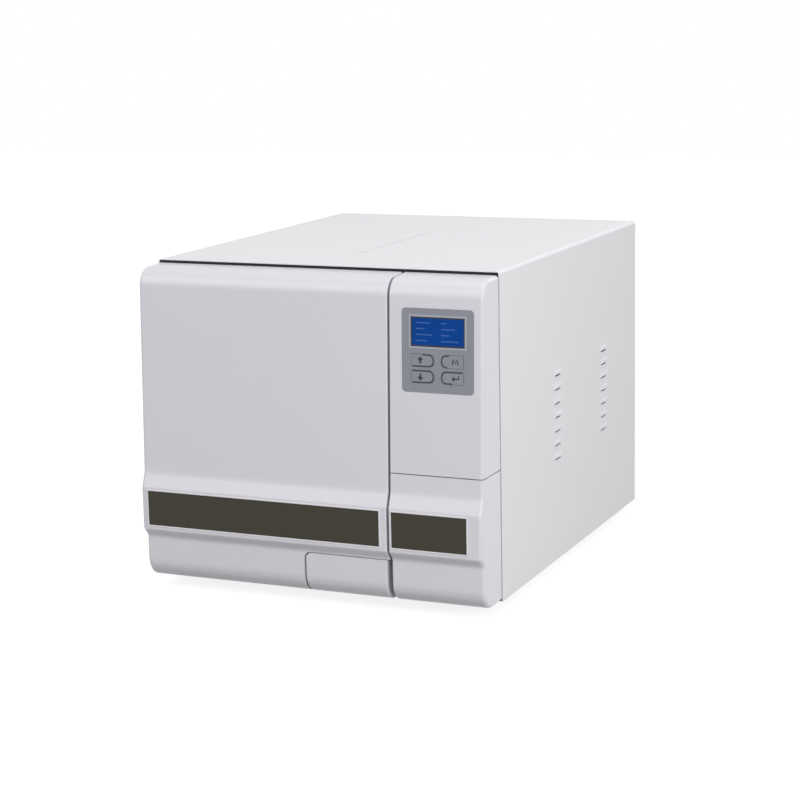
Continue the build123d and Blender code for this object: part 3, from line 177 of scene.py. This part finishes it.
def coat(
    name, colour, roughness,
    peel=0.02, peel_scale=900.0, mottle=0.02, mottle_scale=14.0, metallic=0.0, grip=1.0,
):
    """A finish whose colour and gloss wander a little over the piece, with a fine relief."""
    material, shader = bsdf_material(name)
    place = node(material, "ShaderNodeTexCoord")
    cloud = node(material, "ShaderNodeTexNoise", Scale=mottle_scale, Detail=4.0)
    wire(material, place.outputs["Object"], cloud.inputs["Vector"])
    blend = node(material, "ShaderNodeMix", data_type="RGBA")
    blend.inputs["A"].default_value = (*[c * (1 - mottle) for c in colour], 1)
    blend.inputs["B"].default_value = (*[min(c * (1 + mottle), 1) for c in colour], 1)
    wire(material, cloud.outputs["Fac"], blend.inputs["Factor"])
    wire(material, blend.outputs["Result"], shader.inputs["Base Color"])
    wear = node(material, "ShaderNodeMapRange")
    wear.inputs["To Min"].default_value = roughness * 0.88
    wear.inputs["To Max"].default_value = min(roughness * 1.12, 1)
    wire(material, cloud.outputs["Fac"], wear.inputs["Value"])
    wire(material, wear.outputs["Result"], shader.inputs["Roughness"])
    grain = node(material, "ShaderNodeTexNoise", Scale=peel_scale, Detail=3.0)
    wire(material, place.outputs["Object"], grain.inputs["Vector"])
    relief = node(material, "ShaderNodeBump", Strength=peel, Distance=0.0002 * grip)
    wire(material, grain.outputs["Fac"], relief.inputs["Height"])
    wire(material, relief.outputs["Normal"], shader.inputs["Normal"])
    shader.inputs["Metallic"].default_value = metallic
    return material


def dress(nodes, material):
    """Puts a finish on CAD pieces."""
    for name in nodes:
        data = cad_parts[name].data
        data.materials.clear()
        data.materials.append(material)


cover_coat = coat("cover_powder_coat", COVER_WHITE, 0.55, peel=0.12, peel_scale=1400.0, mottle=0.012)
cover_coat.node_tree.nodes["Principled BSDF"].inputs["Specular IOR Level"].default_value = 0.2
dress(["outer_cover", "rear_panel", "tank_lid"], cover_coat)

# Dark inner sheet, coloured as painted shade
# The plate behind the front mouldings is pressed steel. It closes the case's front. Its near-black colour is
# painted
# shade: it stands for the shade in the gap round the mouldings, and makes the dark line there.
dress(["front_bulkhead"], coat("bulkhead_gap_shade", (0.012, 0.012, 0.014), 0.6, mottle=0.2))

# Base and brackets
# The pan under the works, the chamber's cradle, the tank's stand and the door's yoke are pressed steel,
# painted a plain grey.
grey_paint = coat("grey_paint", (0.36, 0.37, 0.38), 0.45, peel=0.1, mottle=0.05)
dress(["base_pan", "chamber_cradle", "tank_stand", "door_yoke"], grey_paint)

# Feet
# Four tapered feet of black rubber stand under the base pan, at its corners. They are screwed up into
# the pan.
dress(["feet"], coat("foot_rubber", (0.018, 0.018, 0.018), 0.8, peel=0.25, peel_scale=500.0, mottle=0.2))

# Rear screws
# Pan-head steel screws hold the rear panel along its edges, four to a side. Each head tapers and has a round
# socket sunk in its top.
SCREW_R = 0.0035
SCREW_T = 0.0022
SCREW_TAPER = 0.72
SOCKET_RIM = 0.34
SOCKET_DEPTH = 0.6
SCREW_EDGE = 0.014
SCREWS_A_SIDE = 4


def place_piece(name, bm, body, material, at=Matrix.Identity(4)):
    """Turns a finished bmesh into a piece that rides on a body, with its place in its mesh."""
    bmesh.ops.transform(bm, matrix=at, verts=bm.verts)
    mesh = bpy.data.meshes.new(name)
    bm.to_mesh(mesh)
    bm.free()
    mesh.materials.append(material)
    piece = bpy.data.objects.new(name, mesh)
    bpy.context.scene.collection.objects.link(piece)
    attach(piece, body)


def screw(bm, at):
    """One screw head in a bmesh, its axis along a matrix's z."""
    made = bmesh.ops.create_cone(
        bm, cap_ends=True, segments=24, radius1=SCREW_R, radius2=SCREW_R * SCREW_TAPER, depth=SCREW_T,
        matrix=at @ Matrix.Translation((0, 0, SCREW_T / 2)),
    )
    up = at.to_3x3() @ Vector((0, 0, 1))
    faces = {f for v in made["verts"] for f in v.link_faces}
    top = max(faces, key=lambda f: f.calc_center_median().dot(up))
    bmesh.ops.inset_region(bm, faces=[top], thickness=SCREW_R * SOCKET_RIM)
    bmesh.ops.translate(bm, vec=up * -SCREW_T * SOCKET_DEPTH, verts=top.verts)


bright_steel = coat("zinc_plate", (0.52, 0.52, 0.54), 0.3, mottle=0.06, metallic=1.0)
rear_low, rear_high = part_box("rear_panel")
FACING_BACK = Matrix.Rotation(radians(-90), 4, "X")
bm = bmesh.new()
last = SCREWS_A_SIDE - 1
for column in range(SCREWS_A_SIDE):
    for row in range(SCREWS_A_SIDE):
        if column in (0, last) or row in (0, last):
            x = rear_low.x + SCREW_EDGE + column * (rear_high.x - rear_low.x - 2 * SCREW_EDGE) / last
            z = rear_low.z + SCREW_EDGE + row * (rear_high.z - rear_low.z - 2 * SCREW_EDGE) / last
            screw(bm, Matrix.Translation((x, rear_high.y, z)) @ FACING_BACK)
place_piece("rear_screws", bm, "case", bright_steel)

# Front mouldings
# The door's shell, the control moulding, the service flap and the pull handle are one family of moulded
# covers in a satin, faintly violet white.
MOULDING = (0.675, 0.66, 0.70)
moulding = coat("satin_moulding", MOULDING, 0.32, peel=0.05, peel_scale=700.0, mottle=0.01, mottle_scale=6.0)
moulding_shader = moulding.node_tree.nodes["Principled BSDF"]
moulding_shader.inputs["Specular IOR Level"].default_value = 0.35
moulding_shader.inputs["Coat Weight"].default_value = 0.1
moulding_shader.inputs["Coat Roughness"].default_value = 0.12
dress(["door_shell", "control_fascia", "service_flap", "pull_handle"], moulding)

# Dark strips
# Two gloss strips in a dark olive smoke colour are glued into pockets in the band, each inside a fine
# pale bead.
STRIP_OLIVE = (0.031, 0.027, 0.013)
BEAD_RAIL = 0.0018
BEAD_OUT = 0.0013
smoke = coat("olive_gloss", STRIP_OLIVE, 0.28, peel=0.02, mottle=0.05, mottle_scale=9.0)
smoke_shader = smoke.node_tree.nodes["Principled BSDF"]
smoke_shader.inputs["Specular IOR Level"].default_value = 0.3
smoke_shader.inputs["Coat Weight"].default_value = 0.05
dress(["door_strip", "service_strip"], smoke)


def rim(bm, wide, tall, rail, deep):
    """A flat rectangular frame centred on the origin, its outer size given, standing along z."""
    bmesh.ops.create_grid(bm, x_segments=1, y_segments=1, size=0.5)
    bmesh.ops.scale(bm, vec=(wide, tall, 1), verts=bm.verts)
    inner = bm.faces[:]
    inset = bmesh.ops.inset_region(bm, faces=inner, thickness=rail, use_boundary=True, use_even_offset=True)
    ring = inset["faces"]
    bmesh.ops.delete(bm, geom=inner, context="FACES")
    raised = bmesh.ops.extrude_face_region(bm, geom=ring)["geom"]
    bmesh.ops.translate(bm, vec=(0, 0, deep), verts=[v for v in raised if isinstance(v, bmesh.types.BMVert)])
    bmesh.ops.recalc_face_normals(bm, faces=bm.faces)
    sharp = [e for e in bm.edges if e.calc_face_angle(0) > 1]
    raised_edges = [e for e in sharp if min(v.co.z for v in e.verts) > deep / 2]
    bmesh.ops.bevel(
        bm, geom=raised_edges,
        offset=min(rail, deep) * 0.35, segments=2, profile=0.5, affect="EDGES", material=-1,
    )


FACING_FRONT = Matrix.Rotation(radians(90), 4, "X")
bead_white = coat("bead_white", (0.70, 0.69, 0.72), 0.25, mottle=0.01)
for name, body in (("door_strip", "door"), ("service_strip", "flap")):
    low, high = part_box(name)
    middle = (low + high) / 2
    bm = bmesh.new()
    rim(bm, high.x - low.x + 2 * BEAD_RAIL, high.z - low.z + 2 * BEAD_RAIL, BEAD_RAIL, BEAD_OUT)
    at = Matrix.Translation((middle.x, low.y, middle.z)) @ FACING_FRONT
    place_piece(f"{name}_bead", bm, body, bead_white, at)

# Keypad panel
# A grey membrane panel glued into the control moulding, with a paler raised frame round its display. The
# boards behind it are green, and so is the main board.
KEYPAD_GREY = (0.235, 0.245, 0.285)
panel_grey = coat("membrane_grey", KEYPAD_GREY, 0.4, peel=0.1, peel_scale=1500.0, mottle=0.03)
dress(["keypad_panel", "key_up", "key_mode", "key_down", "key_enter"], panel_grey)
board_green = coat("solder_mask", (0.01, 0.09, 0.03), 0.35, mottle=0.15)
dress(["control_board", "main_board", "lcd_module"], board_green)
FACE_SET_BACK = 9.0
FACE_RISE = 248.0
FACE_LEAN = atan2(FACE_SET_BACK, FACE_RISE)
OUTWARD = Vector((0, -cos(FACE_LEAN), sin(FACE_LEAN)))
UPWARD = Vector((0, sin(FACE_LEAN), cos(FACE_LEAN)))
SIDEWAYS = Vector((1, 0, 0))
FLAT_SLACK = 0.00005


def outer_face(name):
    """The matrix, width and height of a CAD piece's outermost flat on the leaning face."""
    points = [v.co.copy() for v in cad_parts[name].data.vertices]
    reach = max(p.dot(OUTWARD) for p in points)
    flat = [p for p in points if p.dot(OUTWARD) > reach - FLAT_SLACK]
    sides = [p.dot(SIDEWAYS) for p in flat]
    heights = [p.dot(UPWARD) for p in flat]
    wide, tall = max(sides) - min(sides), max(heights) - min(heights)
    centre = SIDEWAYS * (max(sides) + min(sides)) / 2 + UPWARD * (max(heights) + min(heights)) / 2
    centre = centre + OUTWARD * reach
    turn = Matrix((SIDEWAYS, UPWARD, OUTWARD)).transposed().to_4x4()
    return Matrix.Translation(centre) @ turn, wide, tall


BEZEL_RAIL = 0.0022
BEZEL_OUT = 0.0004
lcd_at, lcd_wide, lcd_tall = outer_face("lcd_window")
panel_at = outer_face("keypad_panel")[0]
panel_rise = (panel_at.translation - lcd_at.translation).dot(OUTWARD)
bm = bmesh.new()
rim(bm, lcd_wide + 2 * BEZEL_RAIL, lcd_tall + 2 * BEZEL_RAIL, BEZEL_RAIL, BEZEL_OUT)
bezel_grey = coat("bezel_grey", (0.36, 0.37, 0.42), 0.35, mottle=0.03)
bezel_at = lcd_at @ Matrix.Translation((0, 0, panel_rise))
place_piece("display_bezel", bm, "case", bezel_grey, bezel_at)

# Display
# A lit blue liquid-crystal display behind a clear window. A dark ring of painted shade runs round its edge,
# standing for the shade inside the window's recess, and pale bars stand where its rows of readings are.
LCD_BLUE = (0.0005, 0.040, 0.225)
LCD_PALE = (0.03, 0.11, 0.33)
LCD_DARK = (0.0, 0.01, 0.04)
# Sizes of the near-black ring of painted shade round the display's edge.
RECESS_SHADE_RAIL = 0.0018
RECESS_SHADE_OUT = 0.00012
RECESS_SHADE_FIT = 0.0001
lcd_glass, lcd_shader = bsdf_material("lit_display")
spot = node(lcd_glass, "ShaderNodeTexCoord")
haze = node(lcd_glass, "ShaderNodeTexNoise", Scale=60.0, Detail=2.0)
wire(lcd_glass, spot.outputs["Object"], haze.inputs["Vector"])
tint = node(lcd_glass, "ShaderNodeMix", data_type="RGBA")
tint.inputs["A"].default_value = (*[c * 0.85 for c in LCD_BLUE], 1)
tint.inputs["B"].default_value = (*[c * 1.2 for c in LCD_BLUE], 1)
wire(lcd_glass, haze.outputs["Fac"], tint.inputs["Factor"])
wire(lcd_glass, tint.outputs["Result"], lcd_shader.inputs["Emission Color"])
lcd_shader.inputs["Base Color"].default_value = (*LCD_DARK, 1)
lcd_shader.inputs["Emission Strength"].default_value = 0.9
lcd_shader.inputs["Roughness"].default_value = 0.3
lcd_shader.inputs["Specular IOR Level"].default_value = 0.08
dress(["lcd_window"], lcd_glass)

# The near-black ring laid on the display's edge is painted shade, for the shade inside the window's recess.
recess_shade_black = coat("display_recess_shade", (0.002, 0.006, 0.03), 0.25, mottle=0.1)
bm = bmesh.new()
rim(bm, lcd_wide - RECESS_SHADE_FIT, lcd_tall - RECESS_SHADE_FIT, RECESS_SHADE_RAIL, RECESS_SHADE_OUT)
place_piece("display_recess_shade", bm, "case", recess_shade_black, lcd_at)

pale_pixels, pale_shader = bsdf_material("display_readings")
flicker = node(pale_pixels, "ShaderNodeTexNoise", Scale=900.0, Detail=1.0)
pale_at = node(pale_pixels, "ShaderNodeTexCoord")
wire(pale_pixels, pale_at.outputs["Object"], flicker.inputs["Vector"])
pale_mix = node(pale_pixels, "ShaderNodeMix", data_type="RGBA")
pale_mix.inputs["A"].default_value = (*LCD_BLUE, 1)
pale_mix.inputs["B"].default_value = (*LCD_PALE, 1)
wire(pale_pixels, flicker.outputs["Fac"], pale_mix.inputs["Factor"])
wire(pale_pixels, pale_mix.outputs["Result"], pale_shader.inputs["Emission Color"])
pale_shader.inputs["Base Color"].default_value = (*LCD_DARK, 1)
pale_shader.inputs["Emission Strength"].default_value = 1.0
pale_shader.inputs["Roughness"].default_value = 0.15
ROW_GAP = 0.0068
LEFT_BARS = (0.018, 0.011, 0.020, 0.014)
RIGHT_BARS = (0.006, 0.017, 0.010, 0.021)
LEFT_MARGIN = 0.006
RIGHT_START = 0.004
BAR_TALL = 0.0013
BAR_T = 0.0001
bm = bmesh.new()
for column, bars in ((-1, LEFT_BARS), (1, RIGHT_BARS)):
    for row, length in enumerate(bars):
        left = -lcd_wide / 2 + LEFT_MARGIN if column < 0 else RIGHT_START
        bar_at = Matrix.Translation((left + length / 2, (1.5 - row) * ROW_GAP, BAR_T / 2))
        bmesh.ops.create_cube(bm, size=1, matrix=bar_at @ Matrix.Diagonal((length, BAR_TALL, BAR_T, 1)))
place_piece("display_readings", bm, "case", pale_pixels, lcd_at)

# Keys
# Four touch keys stand a little proud of the panel. Each has a dark printed outline, open towards the
# panel's edge, and a printed sign: an arrow up, an arrow down, a letter for the menu and a return arrow.
PRINT_W = 0.0014
PRINT_T = 0.00012
KEY_IN = 0.0008
CORNER_R = 0.0055
ARC_STEPS = 8
print_black = coat("key_print", (0.014, 0.018, 0.03), 0.5, mottle=0.1)


def printed(name, lines, width, body, at):
    """Printed lines on a flat face. Each line is a list of points on that face, in metres."""
    curve = bpy.data.curves.new(name, "CURVE")
    curve.dimensions = "3D"
    curve.bevel_depth = width / 2
    curve.bevel_resolution = 2
    curve.use_fill_caps = True
    for line in lines:
        spline = curve.splines.new("POLY")
        spline.points.add(len(line) - 1)
        for point, (x, y) in zip(spline.points, line):
            point.co = (x, y, 0, 1)
    drawn = bpy.data.objects.new(name, curve)
    mesh = bpy.data.meshes.new_from_object(drawn)
    bm = bmesh.new()
    bm.from_mesh(mesh)
    bmesh.ops.scale(bm, vec=(1, 1, PRINT_T / width * 2), verts=bm.verts)
    bmesh.ops.recalc_face_normals(bm, faces=bm.faces)
    bpy.data.objects.remove(drawn)
    bpy.data.curves.remove(curve)
    bpy.data.meshes.remove(mesh)
    place_piece(name, bm, body, print_black, at)


def key_lines(wide, tall, side, above, below):
    """A key's outline, round towards a side. Its upper and lower lines run so far to its open end."""
    radius = tall / 2 - KEY_IN
    turning = side * (wide / 2 - KEY_IN - CORNER_R)
    straight = radius - CORNER_R
    turns = [pi / 2 * k / ARC_STEPS for k in range(ARC_STEPS + 1)]
    arc = [(turning + side * CORNER_R * sin(a), straight + CORNER_R * cos(a)) for a in turns]
    return [[(-side * above, radius), *arc, *[(x, -y) for x, y in reversed(arc)], (-side * below, -radius)]]


UP_ARROW = [[(0, -0.0032), (0, 0.003)], [(-0.0024, 0.0006), (0, 0.0034), (0.0024, 0.0006)]]
DOWN_ARROW = [[(x, -y) for x, y in line] for line in UP_ARROW]
LETTER_M = [[(-0.0032, -0.0028), (-0.0026, 0.0028), (0, -0.0012), (0.0026, 0.0028), (0.0032, -0.0028)]]
RETURN_ARROW = [
    [(0.004, 0.0028), (0.004, -0.0008), (-0.0034, -0.0008)],
    [(-0.0008, 0.0014), (-0.0036, -0.0008), (-0.0008, -0.003)],
]
KEY_SIGNS = {
    "key_up": ("up", 1, 0.0, 0.0125, -0.003, UP_ARROW, 0.0024),
    "key_down": ("down", 1, 0.0125, 0.0125, -0.003, DOWN_ARROW, 0.0024),
    "key_mode": ("mode", -1, -0.004, -0.006, 0.0035, LETTER_M, 0.0018),
    "key_enter": ("enter", -1, 0.0125, 0.0, 0.0035, RETURN_ARROW, 0.0018),
}
for name, (body, side, above, below, shift, sign, width) in KEY_SIGNS.items():
    key_at, key_wide, key_tall = outer_face(name)
    printed(f"{name}_outline", key_lines(key_wide, key_tall, side, above, below), PRINT_W, body, key_at)
    moved = [[(x + shift, y) for x, y in line] for line in sign]
    printed(f"{name}_sign", moved, width, body, key_at)

# Pressure vessel
# The chamber, its flange, the door's pressure disc, the rack and the trays are brushed stainless steel.
# The brushing runs round the vessel and along the trays.


def brushed(name, colour, roughness, stretch):
    """Steel brushed along the direction in which the pattern is stretched."""
    material = coat(name, colour, roughness, peel=0.05, mottle=0.05, metallic=1.0)
    place = node(material, "ShaderNodeTexCoord")
    turn = node(material, "ShaderNodeMapping", Scale=stretch)
    wire(material, place.outputs["Object"], turn.inputs["Vector"])
    noises = [n for n in material.node_tree.nodes if n.bl_idname == "ShaderNodeTexNoise"]
    grain = max(noises, key=lambda n: n.inputs["Scale"].default_value)
    wire(material, turn.outputs["Vector"], grain.inputs["Vector"])
    return material


vessel_steel = brushed("vessel_steel", (0.58, 0.58, 0.585), 0.28, (1.0, 0.08, 1.0))
tray_steel = brushed("tray_steel", (0.62, 0.62, 0.63), 0.24, (0.06, 1.0, 1.0))
dress(["chamber", "chamber_flange", "pressure_disc", "steam_generator"], vessel_steel)
dress(["tray_rack", "tray_bottom", "tray_middle", "tray_top"], tray_steel)

# Hinges and catches
# The knuckles and pins of the hinges, the handle's arm with its striker, the lock and the disc's stud are
# zinc-plated steel. So is the wire guard over the fan.
dress(["hinge_low", "hinge_high", "flap_hinge", "disc_stud", "fan_guard"], bright_steel)
dress(["latch_striker", "latch_arm", "lock_bolt", "lock_solenoid"], bright_steel)

# Door lining and seal
# A grey moulded liner closes the door's back round the disc, whose seal is pale silicone rubber.
dress(["door_liner"], coat("liner_grey", (0.50, 0.50, 0.53), 0.5, peel=0.2, peel_scale=700.0, mottle=0.02))
dress(["door_gasket"], coat("silicone", (0.66, 0.60, 0.52), 0.45, mottle=0.06))

# Insulation
# Needled felt is wrapped round the chamber to keep its heat in. It is matt, pale brown and uneven.
felt = coat(
    "needled_felt", (0.62, 0.58, 0.50), 0.95,
    peel=0.9, peel_scale=420.0, mottle=0.12, mottle_scale=60.0, grip=6.0,
)
dress(["chamber_jacket"], felt)

# Water tank
# The tank and the frame of its filling mouth are moulded in natural, milky plastic. The air filter behind
# the service flap has a housing of the same plastic.
milky_plastic = coat("milky_plastic", (0.74, 0.75, 0.73), 0.4, mottle=0.03)
dress(["water_tank", "hatch_frame", "air_filter"], milky_plastic)

# Brass fittings
# The drain taps, the valve block and the relief valve are turned from brass and left bare, with a dull
# shine.
turned_brass = coat("turned_brass", (0.60, 0.42, 0.18), 0.28, mottle=0.08, metallic=1.0)
dress(["drain_taps", "valve_block", "relief_valve"], turned_brass)

# Motors, fan and inlet
# The pumps, the fan, the power inlet and its rocker are black mouldings. The condenser's fins are thin
# sheet aluminium.
dress(["water_pump", "vacuum_pump", "fan_frame", "fan_rotor", "mains_inlet", "power_rocker"],
      coat("black_moulding", (0.016, 0.016, 0.018), 0.42, peel=0.2, peel_scale=900.0, mottle=0.15))
dress(["condenser"], coat("fin_aluminium", (0.74, 0.75, 0.77), 0.3, mottle=0.05, metallic=1.0))
